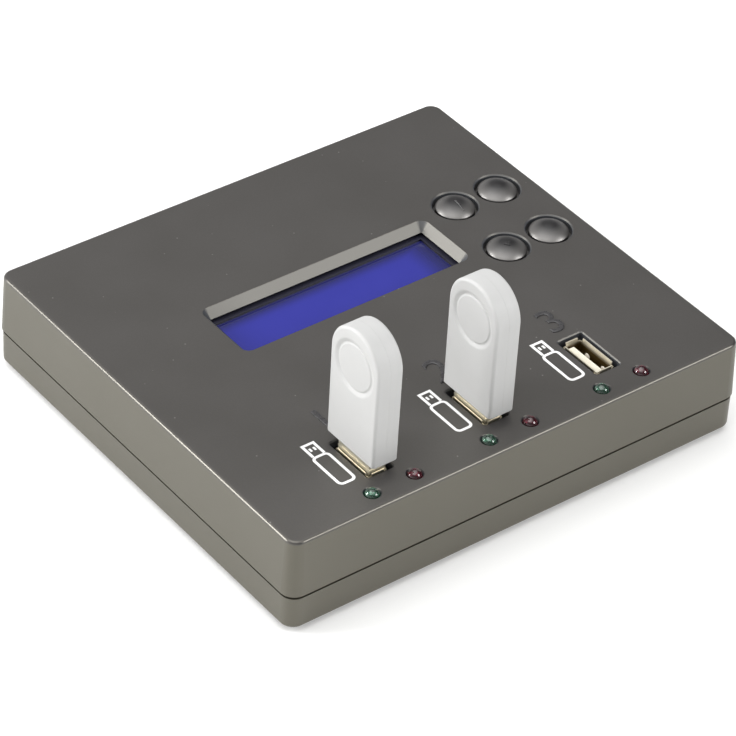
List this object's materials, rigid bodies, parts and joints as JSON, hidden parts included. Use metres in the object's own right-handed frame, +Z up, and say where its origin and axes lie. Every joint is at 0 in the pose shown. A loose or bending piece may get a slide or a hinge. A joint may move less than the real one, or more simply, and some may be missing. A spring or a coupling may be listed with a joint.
{
  "type": "usb duplicator",
  "caption": "Desktop duplicator: low two-shell case with a recessed display, domed push buttons, upright sockets with status lights, and plugged-in memory sticks that pull out.",
  "frame": {"origin": "middle of the case on the desk that the feet stand on", "axes": "+X along the display to the buttons' side, +Y from the user's edge to the back, +Z up"},
  "size_m": [0.1388, 0.1258, 0.0662],
  "materials": {
    "case_plastic": "fine moulded grain, dark grey",
    "button_plastic": "satin, dark grey",
    "foot_rubber": "matte",
    "screw_steel": "zinc plated",
    "circuit_board": "solder mask",
    "chip_plastic": "moulded black",
    "nickel_plate": "nickel-plated sheet",
    "contact_gold": "gold plated",
    "ivory_plastic": "semi-gloss",
    "bezel_black": "black lacquer",
    "display_glass": "blue negative display, unlit characters",
    "stick_plastic": "satin white",
    "light_green": "tinted clear resin",
    "light_red": "tinted clear resin"
  },
  "bodies": {
    "case": {"top_shell": "case_plastic", "bottom_shell": "case_plastic", "rubber_feet": "foot_rubber", "case_screws": "screw_steel", "board_screws": "screw_steel", "display_screws": "screw_steel", "main_board": "circuit_board", "controller_chip": "chip_plastic", "memory_chip": "chip_plastic", "clock_crystal": "screw_steel", "capacitors": "chip_plastic", "voltage_regulator": "chip_plastic", "power_jack_body": "chip_plastic", "power_jack_pin": "nickel_plate", "socket_shell_1": "nickel_plate", "socket_shell_2": "nickel_plate", "socket_shell_3": "nickel_plate", "socket_insulator_1": "ivory_plastic", "socket_insulator_2": "ivory_plastic", "socket_insulator_3": "ivory_plastic", "socket_contacts": "contact_gold", "display_board": "circuit_board", "display_bezel": "bezel_black", "display_glass": "display_glass", "display_backlight": "ivory_plastic", "display_pins": "contact_gold", "switch_body_back_left": "chip_plastic", "switch_body_back_right": "chip_plastic", "switch_body_front_left": "chip_plastic", "switch_body_front_right": "chip_plastic", "green_light_1": "light_green", "green_light_2": "light_green", "green_light_3": "light_green", "red_light_1": "light_red", "red_light_2": "light_red", "red_light_3": "light_red", "light_leads": "screw_steel", "light_spacers": "chip_plastic"},
    "button_back_left": {"button_cap_back_left": "button_plastic", "switch_plunger_back_left": "ivory_plastic"},
    "button_back_right": {"button_cap_back_right": "button_plastic", "switch_plunger_back_right": "ivory_plastic"},
    "button_front_left": {"button_cap_front_left": "button_plastic", "switch_plunger_front_left": "ivory_plastic"},
    "button_front_right": {"button_cap_front_right": "button_plastic", "switch_plunger_front_right": "ivory_plastic"},
    "stick_1": {"stick_1_left_half": "stick_plastic", "stick_1_right_half": "stick_plastic", "stick_1_plug_shell": "nickel_plate", "stick_1_plug_insulator": "chip_plastic", "stick_1_contacts": "contact_gold", "stick_1_board": "circuit_board", "stick_1_chip": "chip_plastic"},
    "stick_2": {"stick_2_left_half": "stick_plastic", "stick_2_right_half": "stick_plastic", "stick_2_plug_shell": "nickel_plate", "stick_2_plug_insulator": "chip_plastic", "stick_2_contacts": "contact_gold", "stick_2_board": "circuit_board", "stick_2_chip": "chip_plastic"}
  },
  "joints": [
    {"name": "press_back_left", "type": "slide", "parent": "case", "child": "button_back_left", "axis": [0, 0, -1], "range_m": [0, 0.0005], "stiffness_N_per_m": 600},
    {"name": "press_back_right", "type": "slide", "parent": "case", "child": "button_back_right", "axis": [0, 0, -1], "range_m": [0, 0.0005], "stiffness_N_per_m": 600},
    {"name": "press_front_left", "type": "slide", "parent": "case", "child": "button_front_left", "axis": [0, 0, -1], "range_m": [0, 0.0005], "stiffness_N_per_m": 600},
    {"name": "press_front_right", "type": "slide", "parent": "case", "child": "button_front_right", "axis": [0, 0, -1], "range_m": [0, 0.0005], "stiffness_N_per_m": 600},
    {"name": "pull_stick_1", "type": "slide", "parent": "case", "child": "stick_1", "axis": [0, 0, 1], "range_m": [0, 0.012]},
    {"name": "pull_stick_2", "type": "slide", "parent": "case", "child": "stick_2", "axis": [0, 0, 1], "range_m": [0, 0.012]}
  ]
}
